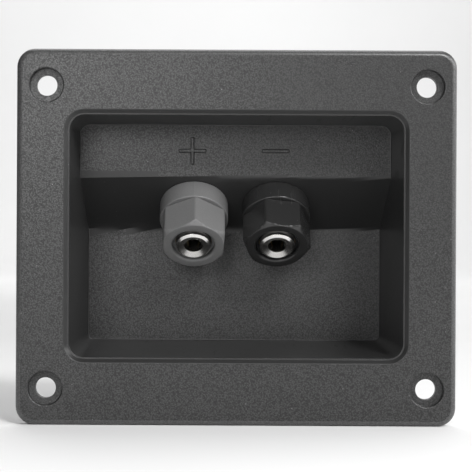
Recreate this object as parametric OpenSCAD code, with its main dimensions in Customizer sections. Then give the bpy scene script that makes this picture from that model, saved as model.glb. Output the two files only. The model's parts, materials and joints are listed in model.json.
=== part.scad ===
// Recessed loudspeaker terminal cup with two hexagonal binding posts.
// Millimetres. The front faces -Y, +Z is up, and the origin is the centre of
// the flange's rear face, which seats on the cabinet panel.

/* [Flange] */
// Width of the flange
flange_w = 96; // [80:1:130]
// Height of the flange
flange_h = 82; // [68:1:120]
// Thickness of the flange
flange_t = 3; // [2.4:0.1:5]
// Corner radius of the flange
flange_r = 4; // [2:0.5:8]
// Chamfer around the flange's front edge
flange_edge = 0.9; // [0.2:0.1:1.5]

/* [Panel screws] */
// Distance of the screw holes from the flange's sides
screw_inset_x = 6.5; // [5:0.1:7.5]
// Distance of the screw holes from the flange's top and bottom
screw_inset_z = 8; // [5:0.1:10]
// Diameter of the screw holes
screw_d = 4.5; // [3:0.1:5.4]
// Width of the counterbore's step around the hole
screw_head_step = 1.4; // [0.8:0.1:1.6]
// Depth of the counterbores
screw_head_depth = 1.4; // [0.6:0.1:1.6]

/* [Recess] */
// Width of the flange's face beside the recess
side_land = 11.5; // [11:0.1:16]
// Height of the flange's face above and below the recess
top_land = 14.5; // [12:0.1:20]
// How far the recess sits above the flange's centre
recess_lift = 0.2; // [0:0.1:1]
// Corner radius of the recess at its mouth
recess_r = 3.3; // [2.8:0.1:6]
// Chamfer around the mouth
rim_edge = 0.8; // [0.2:0.1:1.2]
// Draft of the recess's walls in degrees
draft = 3.8; // [1:0.1:5]
// Depth of the upper panel below the flange's face
upper_depth = 14.5; // [10:0.1:20]
// Height of the upper panel
upper_panel_h = 12; // [9:0.1:14]
// Tilt of the ledge that carries the posts, from the upright
ledge_tilt = 47.2; // [40:0.1:52]
// Ledge left above the collars
ledge_gap_top = 1.2; // [0.6:0.1:3]
// Ledge left below the collars
ledge_gap_bottom = 0.2; // [0.1:0.1:2]
// Wall thickness of the cup
wall = 2.2; // [1.6:0.1:3]

/* [Polarity marks] */
// Length of the marks' strokes
mark_len = 6; // [3:0.5:8]
// Width of the strokes
mark_stroke = 0.6; // [0.4:0.1:1.2]
// How far the marks stand out
mark_raise = 0.3; // [0.2:0.1:0.6]

/* [Binding posts] */
// Centre distance of the two posts
post_spacing = 19; // [18:0.5:30]
// Diameter of the plastic base collars
collar_d = 15.8; // [14:0.1:17]
// Thickness of the collars in front of the ledge
collar_t = 5; // [3.8:0.1:6]
// Diameter of the collars' spigots in the ledge
spigot_d = 9.2; // [8:0.1:10]
// Thread diameter of the posts in front of the ledge
thread_d = 8; // [7:0.1:8.4]
// Bore for the 4 mm plug
socket_d = 4.2; // [4.1:0.05:4.4]
// Depth of the bore from the post's face
socket_depth = 18.2; // [15:0.1:20]
// Diameter of the wire hole through the post
wire_d = 3; // [1.5:0.1:3.2]
// How far the post's face stands out of its thumb nut
post_proud = 0.4; // [0:0.05:1]
// Stud diameter behind the ledge
stud_d = 6; // [5.6:0.1:6.2]

/* [Thumb nuts] */
// Size of the thumb nuts across their flats
cap_flats = 13.8; // [13:0.1:15]
// Length of the thumb nuts
cap_len = 8; // [7.6:0.1:12]
// Gap between the thumb nuts' mouth and the post
cap_mouth_gap = 0.8; // [0.3:0.1:1.4]
// Turn of the tight positive thumb nut from a flat facing up
positive_turn = 26.5; // [-30:0.5:30]
// Turn of the tight negative thumb nut from a flat facing up
negative_turn = -9.5; // [-30:0.5:30]
// Wall of the threaded inserts outside the thread
insert_wall = 1.6; // [1:0.1:1.8]
// Length of the threaded inserts
insert_len = 6; // [5:0.1:6]

/* [Rear hardware] */
// How far the insulating bushes reach past the ledge's keyways
bush_cover = 0.9; // [0.4:0.1:1.4]
// Thickness of the insulating bushes
bush_t = 1.6; // [1:0.1:2.5]
// Diameter of the flat washers
washer_d = 11.4; // [10:0.1:12]
// Thickness of the flat washers
washer_t = 1; // [0.6:0.1:1.6]
// Diameter of the lock washers
lock_d = 10.2; // [9:0.1:11]
// Thickness of the lock washers
lock_t = 1.3; // [0.8:0.1:1.6]
// Size of the nuts across their flats
nut_flats = 10; // [9:0.1:11]
// Thickness of the nuts
nut_t = 3.2; // [2.4:0.1:4]
// Thickness of the solder tabs
tab_t = 0.8; // [0.5:0.1:1.2]
// Width of the solder tabs
tab_w = 5; // [4:0.1:6]
// Reach of the solder tabs from the stud's centre
tab_reach = 14; // [11:0.5:20]

/* [Hidden] */
SIDES = ["positive", "negative"];
PIECES = ["base_collar", "post", "nut_insert", "thumb_nut", "rear_bush",
          "flat_washer", "lock_washer", "clamp_nut", "solder_tab", "tab_nut"];
$fn = 96;

// Clearances
static_gap = 0.1;      // between pieces that don't move on each other
thread_gap = 0.03;     // between the post's thread and its insert, radial
turn_gap = 0.05;       // between the insert and the thumb nut, all round
seat_gap = 0.1;        // between the tight thumb nut and its collar
cut = 1;               // how far a cutting shape runs past the face it cuts

// Recess and shell, measured from the flange's front face
front_y = -flange_t;
recess_w = flange_w - 2 * side_land;
recess_h = flange_h - 2 * top_land;
upper_y = front_y + upper_depth;
ledge_len = ledge_gap_top + collar_d + ledge_gap_bottom;
lower_y = upper_y + ledge_len * sin(ledge_tilt);
recess_top = recess_lift + recess_h / 2 - upper_depth * tan(draft);
ledge_top_z = recess_top - upper_panel_h;
ledge_bottom_z = ledge_top_z - ledge_len * cos(ledge_tilt);
shell_from = front_y + flange_t / 2;
shell_grow = 2 * (wall / cos(draft) - (shell_from - front_y) * tan(draft));
shell_rise = wall * tan(ledge_tilt / 2);
far = flange_w + flange_h;

// Screw holes
screw_x = flange_w / 2 - screw_inset_x;
screw_z = flange_h / 2 - screw_inset_z;
screw_head_d = screw_d + 2 * screw_head_step;

// A post's own axis starts on the ledge's face and points out of it
post_drop = ledge_gap_top + collar_d / 2;
post_y = upper_y + post_drop * sin(ledge_tilt);
post_z = ledge_top_z - post_drop * cos(ledge_tilt);
spigot_len = wall - 0.2;
key_w = 2;
key_reach = 1.3;
key_share = 0.5;
bush_d = spigot_d + 2 * (key_reach + bush_cover);

// Post, from the rear to the front along its axis
flange_seat = 1.4;
post_flange_t = 1.5;
post_flange_d = thread_d + 2.4;
post_flange_flats = thread_d + 0.8;
post_face = collar_t + seat_gap + cap_len + post_proud;
wire_from_collar = 0.3;
wire_at = collar_t + wire_from_collar + wire_d / 2;
socket_lead = 0.9;
thread_lead = 0.4;
stud_spare = 1.7;

// Thumb nut and its insert
cap_mouth_d = thread_d + 2 * cap_mouth_gap;
insert_d = thread_d + 2 * insert_wall;
cap_base = collar_t + seat_gap;
cap_tip = cap_base + cap_len;
cap_corner_d = collar_d;
cap_bevel_len = 0.9;
cap_bevel_in = 1.1;
insert_base = cap_base + static_gap;

// Rear hardware, each piece against the last
bush_at = -wall - bush_t;
washer_at = bush_at - washer_t;
lock_at = washer_at - lock_t;
clamp_at = lock_at - nut_t;
tab_at = clamp_at - tab_t;
tab_nut_at = tab_at - nut_t;
stud_end = tab_nut_at - stud_spare;
lock_split = 1;
tab_eye_d = 2.6;

// ---- helpers ----

// -1 for the positive post on the left, 1 for the negative one
function side_sign(side) = side == "positive" ? -1 : 1;

function cap_turn(side) = side == "positive" ? positive_turn : negative_turn;

// Block along +Y with a rounded-rectangle section that shrinks by taper
// degrees; w, h and r are its size and corner radius at from_y
module tapered_block(w, h, r, from_y, to_y, taper) {
    run = to_y - from_y;
    inset = run * tan(taper);
    corner_x = w / 2 - r;
    corner_z = h / 2 - r;
    linear_extrude(height = 2 * corner_z, center = true)
        polygon([[-w / 2, from_y], [w / 2, from_y],
                 [w / 2 - inset, to_y], [inset - w / 2, to_y]]);
    rotate([90, 0, 90])
        linear_extrude(height = 2 * corner_x, center = true)
            polygon([[from_y, -h / 2], [to_y, inset - h / 2],
                     [to_y, h / 2 - inset], [from_y, h / 2]]);
    for (sx = [-1, 1], sz = [-1, 1])
        translate([sx * corner_x, from_y, sz * corner_z])
            rotate([-90, 0, 0])
                cylinder(h = run, r1 = r, r2 = r - inset);
}

// Everything in front of the stepped floor, whose corners lie at the given
// depths and heights
module in_front_of_floor(shallow_y, deep_y, top_z, bottom_z) {
    rotate([90, 0, 90])
        linear_extrude(height = far, center = true)
            polygon([[-far, far], [shallow_y, far], [shallow_y, top_z],
                     [deep_y, bottom_z], [deep_y, -far], [-far, -far]]);
}

// Puts children on a post's axis, +Z out of the ledge and +Y up it
module on_ledge(side) {
    translate([side_sign(side) * post_spacing / 2, post_y, post_z])
        rotate([90 + ledge_tilt, 0, 0])
            children();
}

// Ring along +Z from its base
module ring(d, hole_d, at, len) {
    translate([0, 0, at])
        difference() {
            cylinder(d = d, h = len);
            translate([0, 0, -cut])
                cylinder(d = hole_d, h = len + 2 * cut);
        }
}

// Hexagonal bar, a flat facing +Y
module hexagon(flats, at, len) {
    translate([0, 0, at])
        cylinder(d = flats / cos(30), h = len, $fn = 6);
}

// Disc with two flats across Y
module double_d(d, flats, at, len) {
    translate([0, 0, at])
        intersection() {
            cylinder(d = d, h = len);
            translate([-d, -flats / 2, -cut])
                cube([2 * d, flats, len + 2 * cut]);
        }
}

// Key block beside a spigot, up the ledge
module key_block(gap, at, len) {
    translate([-key_w / 2 - gap, 0, at])
        cube([key_w + 2 * gap, spigot_d / 2 + key_reach + gap, len]);
}

// ---- cup ----

module flange_plate() {
    tapered_block(flange_w, flange_h, flange_r, front_y + flange_edge, 0, 0);
    mirror([0, 1, 0])
        tapered_block(flange_w, flange_h, flange_r,
                      -front_y - flange_edge, -front_y, 45);
}

module cup_shell() {
    intersection() {
        translate([0, 0, recess_lift])
            tapered_block(recess_w + shell_grow, recess_h + shell_grow,
                          recess_r + shell_grow / 2,
                          shell_from, lower_y + wall, draft);
        in_front_of_floor(upper_y + wall, lower_y + wall,
                          ledge_top_z + shell_rise,
                          ledge_bottom_z + shell_rise);
    }
}

module recess() {
    lead_in = cut * tan(draft);
    intersection() {
        translate([0, 0, recess_lift])
            tapered_block(recess_w + 2 * lead_in, recess_h + 2 * lead_in,
                          recess_r + lead_in, front_y - cut,
                          lower_y + cut, draft);
        in_front_of_floor(upper_y, lower_y, ledge_top_z, ledge_bottom_z);
    }
}

module rim_chamfer() {
    grow = rim_edge + cut;
    translate([0, 0, recess_lift])
        tapered_block(recess_w + 2 * grow, recess_h + 2 * grow,
                      recess_r + grow, front_y - cut,
                      front_y + rim_edge, 45);
}

module screw_holes() {
    for (sx = [-1, 1], sz = [-1, 1])
        translate([sx * screw_x, 0, sz * screw_z])
            rotate([90, 0, 0]) {
                translate([0, 0, -cut])
                    cylinder(d = screw_d, h = flange_t + 2 * cut);
                translate([0, 0, flange_t - screw_head_depth])
                    cylinder(d = screw_head_d, h = screw_head_depth + cut);
            }
}

module post_holes() {
    for (side = SIDES)
        on_ledge(side) {
            translate([0, 0, -wall - cut])
                cylinder(d = spigot_d + 2 * static_gap, h = wall + 2 * cut);
            key_block(static_gap, -wall - cut, wall + 2 * cut);
        }
}

// Stroke on the upper panel, flat or upright
module mark_stroke(side, upright) {
    long_x = upright ? mark_stroke : mark_len;
    long_z = upright ? mark_len : mark_stroke;
    translate([side_sign(side) * post_spacing / 2 - long_x / 2,
               upper_y - mark_raise,
               ledge_top_z + upper_panel_h / 2 - long_z / 2])
        cube([long_x, mark_raise + wall / 2, long_z]);
}

module cup_body() {
    color([0.13, 0.13, 0.14])
        union() {
            difference() {
                union() {
                    flange_plate();
                    cup_shell();
                }
                recess();
                rim_chamfer();
                screw_holes();
                post_holes();
            }
            mark_stroke("positive", false);
            mark_stroke("positive", true);
            mark_stroke("negative", false);
        }
}

// ---- binding posts ----

module base_collar(side) {
    shade = side == "positive" ? 0.42 : 0.07;
    color([shade, shade, shade])
        on_ledge(side)
            difference() {
                union() {
                    cylinder(d = collar_d, h = collar_t);
                    translate([0, 0, -spigot_len])
                        cylinder(d = spigot_d, h = spigot_len + flange_seat);
                    key_block(0, -wall * key_share, wall * key_share);
                }
                double_d(post_flange_d + 2 * static_gap,
                         post_flange_flats + 2 * static_gap,
                         flange_seat, collar_t);
                translate([0, 0, -spigot_len - cut])
                    cylinder(d = stud_d + 2 * static_gap,
                             h = spigot_len + flange_seat + 2 * cut);
            }
}

module post(side) {
    thread_r = thread_d / 2;
    stud_r = stud_d / 2;
    color([0.78, 0.76, 0.72])
        on_ledge(side)
            difference() {
                union() {
                    rotate_extrude()
                        polygon([[0, stud_end],
                                 [stud_r - thread_lead, stud_end],
                                 [stud_r, stud_end + thread_lead],
                                 [stud_r, flange_seat],
                                 [thread_r, flange_seat],
                                 [thread_r, post_face - thread_lead],
                                 [thread_r - thread_lead, post_face],
                                 [0, post_face]]);
                    double_d(post_flange_d, post_flange_flats, flange_seat,
                             post_flange_t);
                }
                translate([0, 0, post_face - socket_depth])
                    cylinder(d = socket_d, h = socket_depth + cut);
                translate([0, 0, post_face - socket_lead])
                    cylinder(d1 = socket_d,
                             d2 = socket_d + 2 * (socket_lead + cut),
                             h = socket_lead + cut);
                translate([0, 0, wire_at])
                    rotate([0, 90, 0])
                        cylinder(d = wire_d, h = 2 * thread_d, center = true);
            }
}

module nut_insert(side) {
    color([0.72, 0.6, 0.32])
        on_ledge(side)
            ring(insert_d, thread_d + 2 * thread_gap, insert_base, insert_len);
}

module thumb_nut(side) {
    shade = side == "positive" ? 0.42 : 0.07;
    pocket_len = insert_base + insert_len + turn_gap - cap_base;
    color([shade, shade, shade])
        on_ledge(side)
            difference() {
                intersection() {
                    rotate([0, 0, cap_turn(side)])
                        hexagon(cap_flats, cap_base, cap_len);
                    rotate_extrude()
                        polygon([[0, cap_base],
                                 [cap_corner_d / 2, cap_base],
                                 [cap_corner_d / 2, cap_tip - cap_bevel_len],
                                 [cap_corner_d / 2 - cap_bevel_in, cap_tip],
                                 [0, cap_tip]]);
                }
                translate([0, 0, cap_base - cut])
                    cylinder(d = cap_mouth_d, h = cap_len + 2 * cut);
                translate([0, 0, cap_base - cut])
                    cylinder(d = insert_d + 2 * turn_gap, h = pocket_len + cut);
            }
}

module rear_bush(side) {
    shade = side == "positive" ? 0.42 : 0.07;
    peg_len = wall * (1 - key_share) - static_gap;
    color([shade, shade, shade])
        on_ledge(side)
            difference() {
                union() {
                    translate([0, 0, bush_at])
                        cylinder(d = bush_d, h = bush_t);
                    intersection() {
                        key_block(0, bush_at, bush_t + peg_len);
                        ring(spigot_d + 2 * key_reach,
                             spigot_d + 2 * static_gap, bush_at,
                             bush_t + peg_len);
                    }
                }
                translate([0, 0, bush_at - cut])
                    cylinder(d = stud_d + 2 * static_gap,
                             h = bush_t + 2 * cut);
            }
}

module flat_washer(side) {
    color([0.74, 0.73, 0.7])
        on_ledge(side)
            ring(washer_d, stud_d + 2 * static_gap, washer_at, washer_t);
}

module lock_washer(side) {
    color([0.66, 0.66, 0.66])
        on_ledge(side)
            difference() {
                ring(lock_d, stud_d + 2 * static_gap, lock_at, lock_t);
                translate([-lock_split / 2, 0, lock_at - cut])
                    cube([lock_split, lock_d, lock_t + 2 * cut]);
            }
}

module hex_nut(side, at) {
    color([0.74, 0.73, 0.7])
        on_ledge(side)
            difference() {
                hexagon(nut_flats, at, nut_t);
                translate([0, 0, at - cut])
                    cylinder(d = stud_d + 2 * thread_gap,
                             h = nut_t + 2 * cut);
            }
}

module solder_tab(side) {
    out = side_sign(side);
    eye_x = tab_reach - tab_w / 2;
    color([0.78, 0.77, 0.74])
        on_ledge(side)
            translate([0, 0, tab_at])
                difference() {
                    union() {
                        cylinder(d = nut_flats, h = tab_t);
                        translate([out * eye_x / 2 - eye_x / 2, -tab_w / 2, 0])
                            cube([eye_x, tab_w, tab_t]);
                        translate([out * eye_x, 0, 0])
                            cylinder(d = tab_w, h = tab_t);
                    }
                    translate([0, 0, -cut])
                        cylinder(d = stud_d + 2 * static_gap,
                                 h = tab_t + 2 * cut);
                    translate([out * eye_x, 0, -cut])
                        cylinder(d = tab_eye_d, h = tab_t + 2 * cut);
                }
}

// One piece of a binding post by its name
module piece(side, name) {
    if (name == "base_collar") base_collar(side);
    if (name == "post") post(side);
    if (name == "nut_insert") nut_insert(side);
    if (name == "thumb_nut") thumb_nut(side);
    if (name == "rear_bush") rear_bush(side);
    if (name == "flat_washer") flat_washer(side);
    if (name == "lock_washer") lock_washer(side);
    if (name == "clamp_nut") hex_nut(side, clamp_at);
    if (name == "solder_tab") solder_tab(side);
    if (name == "tab_nut") hex_nut(side, tab_nut_at);
}

cup_body();
for (side = SIDES, name = PIECES)
    piece(side, name);
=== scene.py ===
"""Looks of a recessed loudspeaker terminal cup with two hexagonal binding posts.

The dataclasses hold lengths in millimetres. The cup is built in the object's own frame: its front faces -Y
and +Z is up. Each piece of a binding post is built on the post's axis, with local +Z out of the ledge and
local +Y up the ledge, and its object carries it to its place.
"""

import json
import logging
import math
from collections.abc import Callable, Sequence
from dataclasses import dataclass
from enum import Enum
from typing import Any

import bmesh
import bpy
import numpy as np
from mathutils import Matrix, Vector

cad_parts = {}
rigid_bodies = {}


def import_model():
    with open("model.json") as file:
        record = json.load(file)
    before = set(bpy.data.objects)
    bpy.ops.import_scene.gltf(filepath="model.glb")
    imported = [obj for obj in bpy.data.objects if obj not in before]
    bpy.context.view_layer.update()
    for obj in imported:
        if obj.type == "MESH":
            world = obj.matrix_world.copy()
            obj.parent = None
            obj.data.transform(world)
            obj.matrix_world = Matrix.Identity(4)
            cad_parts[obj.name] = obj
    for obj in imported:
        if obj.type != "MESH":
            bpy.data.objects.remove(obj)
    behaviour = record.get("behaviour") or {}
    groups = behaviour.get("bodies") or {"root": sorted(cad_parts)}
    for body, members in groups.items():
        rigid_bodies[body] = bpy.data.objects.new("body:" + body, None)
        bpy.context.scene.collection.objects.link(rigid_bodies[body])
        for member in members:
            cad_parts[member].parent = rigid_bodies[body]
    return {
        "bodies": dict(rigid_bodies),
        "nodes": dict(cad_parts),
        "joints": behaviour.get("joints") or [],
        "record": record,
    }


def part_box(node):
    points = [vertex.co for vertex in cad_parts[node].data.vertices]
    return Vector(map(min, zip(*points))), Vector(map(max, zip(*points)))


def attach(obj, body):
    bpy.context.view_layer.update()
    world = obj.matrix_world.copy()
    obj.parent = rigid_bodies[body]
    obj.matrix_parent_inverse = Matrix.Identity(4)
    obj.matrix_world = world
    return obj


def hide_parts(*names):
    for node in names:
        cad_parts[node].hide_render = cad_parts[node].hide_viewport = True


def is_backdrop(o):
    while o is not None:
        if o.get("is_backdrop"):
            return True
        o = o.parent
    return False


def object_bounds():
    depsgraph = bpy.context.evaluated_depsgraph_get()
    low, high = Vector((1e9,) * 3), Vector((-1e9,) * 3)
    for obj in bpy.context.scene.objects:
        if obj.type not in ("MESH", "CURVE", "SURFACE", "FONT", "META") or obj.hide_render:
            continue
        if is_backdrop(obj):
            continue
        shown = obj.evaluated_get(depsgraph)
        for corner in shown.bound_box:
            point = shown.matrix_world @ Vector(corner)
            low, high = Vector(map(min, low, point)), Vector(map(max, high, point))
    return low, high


MM = 0.001
FAR = 1e3
LOG = logging.getLogger("terminal_cup")

Colour = tuple[float, float, float]
Corner = tuple[float, float, float]
Faces = list[tuple[int, ...]]
Shape = Callable[[np.ndarray, np.ndarray, np.ndarray], np.ndarray]


class Side(Enum):
    """The two binding posts."""

    POSITIVE = "positive"
    NEGATIVE = "negative"


class Joining(Enum):
    """How one solid changes another."""

    CUT = "DIFFERENCE"
    ADD = "UNION"


# ---- paths and meshes ----


def rounded_path(corners: Sequence[Corner], closed: bool = True, steps: int = 5) -> np.ndarray:
    """Rounds the corners of a plane path.

    Args:
        corners: Two coordinates and a rounding radius for each corner.
        closed: Whether the path returns to its start; the ends of an open path stay sharp.
        steps: Straight pieces in each rounded corner.

    Returns:
        The path's points, one to a row.
    """
    points = []
    count = len(corners)
    for index, (x, y, radius) in enumerate(corners):
        here = np.array([x, y], float)
        if radius <= 0 or (not closed and index in (0, count - 1)):
            points.append(here)
            continue
        back = np.array(corners[index - 1][:2]) - here
        ahead = np.array(corners[(index + 1) % count][:2]) - here
        spans = np.linalg.norm(back), np.linalg.norm(ahead)
        back, ahead = back / spans[0], ahead / spans[1]
        half = math.acos(float(np.clip(back @ ahead, -1, 1))) / 2
        tangent = min(radius / math.tan(half), 0.49 * min(spans))
        bisector = (back + ahead) / np.linalg.norm(back + ahead)
        middle = here + bisector * tangent / math.cos(half)
        start, end = here + back * tangent - middle, here + ahead * tangent - middle
        sweep = math.pi - 2 * half
        for share in np.linspace(0, 1, steps + 1):
            blend = start * math.sin((1 - share) * sweep) + end * math.sin(share * sweep)
            points.append(middle + blend / math.sin(sweep))
    return np.array(points)


def stepped(path: np.ndarray, start: float, end: float, step: float) -> np.ndarray:
    """Adds points to a path's spans along the axis, so that a thread or a bend has rows to move.

    Args:
        path: Radius and station of each point.
        start: Lowest station that gets more points.
        end: Highest station that gets more points.
        step: Largest distance left between two points there.

    Returns:
        The path with the points added.
    """
    rows = [path[0]]
    for here, ahead in zip(path[:-1], path[1:]):
        low, high = sorted((here[1], ahead[1]))
        inside = low >= start - 1e-6 and high <= end + 1e-6
        pieces = max(1, math.ceil((high - low) / step)) if inside else 1
        rows += [here + (ahead - here) * share for share in np.linspace(0, 1, pieces + 1)[1:]]
    return np.array(rows)


def grid_faces(rows: int, columns: int, wrap_rows: bool, wrap_columns: bool) -> Faces:
    """Numbers the four-cornered faces of a grid of vertices.

    Args:
        rows: Rows of vertices.
        columns: Vertices in each row.
        wrap_rows: Whether the last row joins the first.
        wrap_columns: Whether each row closes on itself.

    Returns:
        The vertex numbers of each face.
    """
    faces = []
    for row in range(rows if wrap_rows else rows - 1):
        after = (row + 1) % rows
        for column in range(columns if wrap_columns else columns - 1):
            beside = (column + 1) % columns
            faces.append((row * columns + column, row * columns + beside,
                          after * columns + beside, after * columns + column))
    return faces


def make_object(name: str, vertices: np.ndarray, faces: Faces) -> bpy.types.Object:
    """Makes a closed mesh object, welds its seams and turns its faces outward.

    Args:
        name: Name of the object.
        vertices: Places in millimetres, one to a row.
        faces: Vertex numbers of each face.

    Returns:
        The new object, linked to the scene.
    """
    mesh = bpy.data.meshes.new(name)
    mesh.from_pydata((vertices * MM).tolist(), [], faces)
    work = bmesh.new()
    work.from_mesh(mesh)
    bmesh.ops.remove_doubles(work, verts=work.verts, dist=1e-7)
    bmesh.ops.dissolve_degenerate(work, edges=work.edges, dist=1e-8)
    bmesh.ops.recalc_face_normals(work, faces=work.faces)
    work.to_mesh(mesh)
    work.free()
    made = bpy.data.objects.new(name, mesh)
    bpy.context.scene.collection.objects.link(made)
    return made


def lathe(path: np.ndarray, steps: int, shape: Shape | None = None,
          closed: bool = True) -> tuple[np.ndarray, Faces]:
    """Turns a path round local +Z.

    Args:
        path: Radius and station of each point.
        steps: Vertices in each turned row.
        shape: Changes the radius by angle, radius and station, for flats, threads and keys.
        closed: Whether the path closes on itself; an open one starts and ends on the axis.

    Returns:
        The vertices and the faces.
    """
    angle = np.linspace(0, math.tau, steps, endpoint=False)[None, :]
    radius = np.repeat(path[:, :1], steps, axis=1)
    station = np.repeat(path[:, 1:2], steps, axis=1)
    if shape is not None:
        radius = shape(angle, radius, station)
    vertices = np.stack([radius * np.cos(angle), radius * np.sin(angle), station], axis=-1)
    return vertices.reshape(-1, 3), grid_faces(len(path), steps, closed, True)


def merged(parts: Sequence[tuple[np.ndarray, Faces]]) -> tuple[np.ndarray, Faces]:
    """Puts several vertex and face sets into one.

    Args:
        parts: Vertices and faces of each part.

    Returns:
        All the vertices, and the faces renumbered to match.
    """
    vertices, faces, total = [], [], 0
    for points, own in parts:
        vertices.append(points)
        faces += [tuple(number + total for number in face) for face in own]
        total += len(points)
    return np.concatenate(vertices), faces


def capped(rings: Sequence[np.ndarray]) -> tuple[np.ndarray, Faces]:
    """Skins a row of rings that have equally many points, and closes both ends.

    Args:
        rings: The points of each ring.

    Returns:
        The vertices and the faces.
    """
    count = len(rings[0])
    faces = grid_faces(len(rings), count, False, True)
    faces += [tuple(range(count)), tuple(range(count * (len(rings) - 1), count * len(rings)))]
    return np.concatenate(rings), faces


def pin(radius: float, low: float, high: float, steps: int = 64,
        shape: Shape | None = None) -> tuple[np.ndarray, Faces]:
    """Makes a round solid on local +Z, which cuts a hole.

    Args:
        radius: Radius of the solid.
        low: Its lowest station.
        high: Its highest station.
        steps: Vertices in each turned row.
        shape: Change of radius.

    Returns:
        The vertices and the faces.
    """
    path = np.array([(0.0, low), (radius, low), (radius, high), (0.0, high)])
    return lathe(path, steps, shape, closed=False)


def apply_modifier(target: bpy.types.Object, kind: str, **settings: Any) -> None:
    """Adds a modifier to an object and applies it at once.

    Args:
        target: The object.
        kind: Blender's name for the modifier.
        **settings: Values of the modifier's own fields.
    """
    modifier = target.modifiers.new(kind.lower(), kind)
    for field, value in settings.items():
        setattr(modifier, field, value)
    with bpy.context.temp_override(object=target, active_object=target):
        bpy.ops.object.modifier_apply(modifier=modifier.name)


def combine(target: bpy.types.Object, tool: bpy.types.Object, how: Joining) -> None:
    """Cuts a closed solid out of an object or adds it on, and removes the solid.

    Args:
        target: The object that changes.
        tool: The solid that cuts or is added.
        how: Which of the two.
    """
    apply_modifier(target, "BOOLEAN", object=tool, operation=how.value, solver="EXACT")
    bpy.data.objects.remove(tool)


def smooth(target: bpy.types.Object, sharp_degrees: float = 34.0) -> None:
    """Shades an object smooth, sharp where its faces meet at more than an angle.

    Args:
        target: The object.
        sharp_degrees: The angle.
    """
    target.data.shade_smooth()
    target.data.set_sharp_from_angle(angle=math.radians(sharp_degrees))
    apply_modifier(target, "WEIGHTED_NORMAL", keep_sharp=True)


# ---- shaders ----


def fill(node: bpy.types.Node, inputs: dict[str | int, Any]) -> None:
    """Sets a node's inputs.

    Args:
        node: The node.
        inputs: A value, or the output that is joined on, for each input by name or number.
    """
    for key, value in inputs.items():
        if isinstance(value, bpy.types.NodeSocket):
            node.id_data.links.new(value, node.inputs[key])
        else:
            node.inputs[key].default_value = value


def add_node(tree: bpy.types.NodeTree, kind: str, inputs: dict[str | int, Any] | None = None,
             **fields: Any) -> bpy.types.Node:
    """Adds a node, sets its fields and fills its inputs.

    Args:
        tree: The tree that gets the node.
        kind: Blender's name for the node.
        inputs: A value, or the output that is joined on, for each input by name or number.
        **fields: Values of the node's own fields.

    Returns:
        The new node.
    """
    made = tree.nodes.new(kind)
    for field, value in fields.items():
        setattr(made, field, value)
    fill(made, inputs or {})
    return made


def scaled(tree: bpy.types.NodeTree, value: bpy.types.NodeSocket, source: tuple[float, float],
           target: tuple[float, float]) -> bpy.types.NodeSocket:
    """Maps a value from one range to another.

    Args:
        tree: The tree that gets the node.
        value: The output that is mapped.
        source: Range of the value, which is clamped to it.
        target: Range of the result.

    Returns:
        The mapped value.
    """
    made = add_node(tree, "ShaderNodeMapRange", {
        "Value": value, "From Min": source[0], "From Max": source[1],
        "To Min": target[0], "To Max": target[1]})
    return made.outputs["Result"]


def combined(tree: bpy.types.NodeTree, operation: str, first: Any, second: Any) -> bpy.types.NodeSocket:
    """Does one sum.

    Args:
        tree: The tree that gets the node.
        operation: Blender's name for the sum.
        first: First value or output.
        second: Second value or output.

    Returns:
        The result.
    """
    made = add_node(tree, "ShaderNodeMath", {0: first, 1: second}, operation=operation)
    return made.outputs["Value"]


def grey(tree: bpy.types.NodeTree, tone: bpy.types.NodeSocket) -> bpy.types.NodeSocket:
    """Makes a colour with one tone in all three channels."""
    return add_node(tree, "ShaderNodeCombineColor", {0: tone, 1: tone, 2: tone}).outputs["Color"]


def bumped(tree: bpy.types.NodeTree, height: bpy.types.NodeSocket, depth: float) -> bpy.types.NodeSocket:
    """Tilts the normal by a height.

    Args:
        tree: The tree that gets the node.
        height: Height from 0 to 1.
        depth: What the height's whole range stands for, in millimetres.

    Returns:
        The normal.
    """
    made = add_node(tree, "ShaderNodeBump", {"Height": height, "Strength": 1.0, "Distance": depth * MM})
    return made.outputs["Normal"]


def start_material(name: str) -> tuple[bpy.types.Material, bpy.types.NodeTree, bpy.types.NodeSocket]:
    """Makes a material with a plain shader.

    Args:
        name: Name of the material.

    Returns:
        The material, its tree and the place on the object.
    """
    made = bpy.data.materials.new(name)
    made.use_nodes = True
    place = add_node(made.node_tree, "ShaderNodeTexCoord").outputs["Object"]
    return made, made.node_tree, place


class Group:
    """A shader node group with named inputs and outputs."""

    def __init__(self, name: str, inputs: dict[str, float | None], outputs: Sequence[str]) -> None:
        """Makes the group's sockets.

        Args:
            name: Name of the group.
            inputs: Each input's usual value, or None for a vector.
            outputs: Name of each value that the group puts out.
        """
        self.tree = bpy.data.node_groups.new(name, "ShaderNodeTree")
        for key, value in inputs.items():
            kind = "NodeSocketVector" if value is None else "NodeSocketFloat"
            socket = self.tree.interface.new_socket(key, in_out="INPUT", socket_type=kind)
            if value is not None:
                socket.default_value = value
        for key in outputs:
            self.tree.interface.new_socket(key, in_out="OUTPUT", socket_type="NodeSocketFloat")
        self.given = self.tree.nodes.new("NodeGroupInput").outputs
        self.result = self.tree.nodes.new("NodeGroupOutput").inputs

    def put(self, key: str, value: bpy.types.NodeSocket) -> None:
        """Joins a value to one of the group's outputs."""
        self.tree.links.new(value, self.result[key])

    def place(self, tree: bpy.types.NodeTree, **inputs: Any) -> bpy.types.Node:
        """Puts the group into a material.

        Args:
            tree: The material's tree.
            **inputs: A value or an output for each input.

        Returns:
            The group's node.
        """
        return add_node(tree, "ShaderNodeGroup", inputs, node_tree=self.tree)


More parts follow.
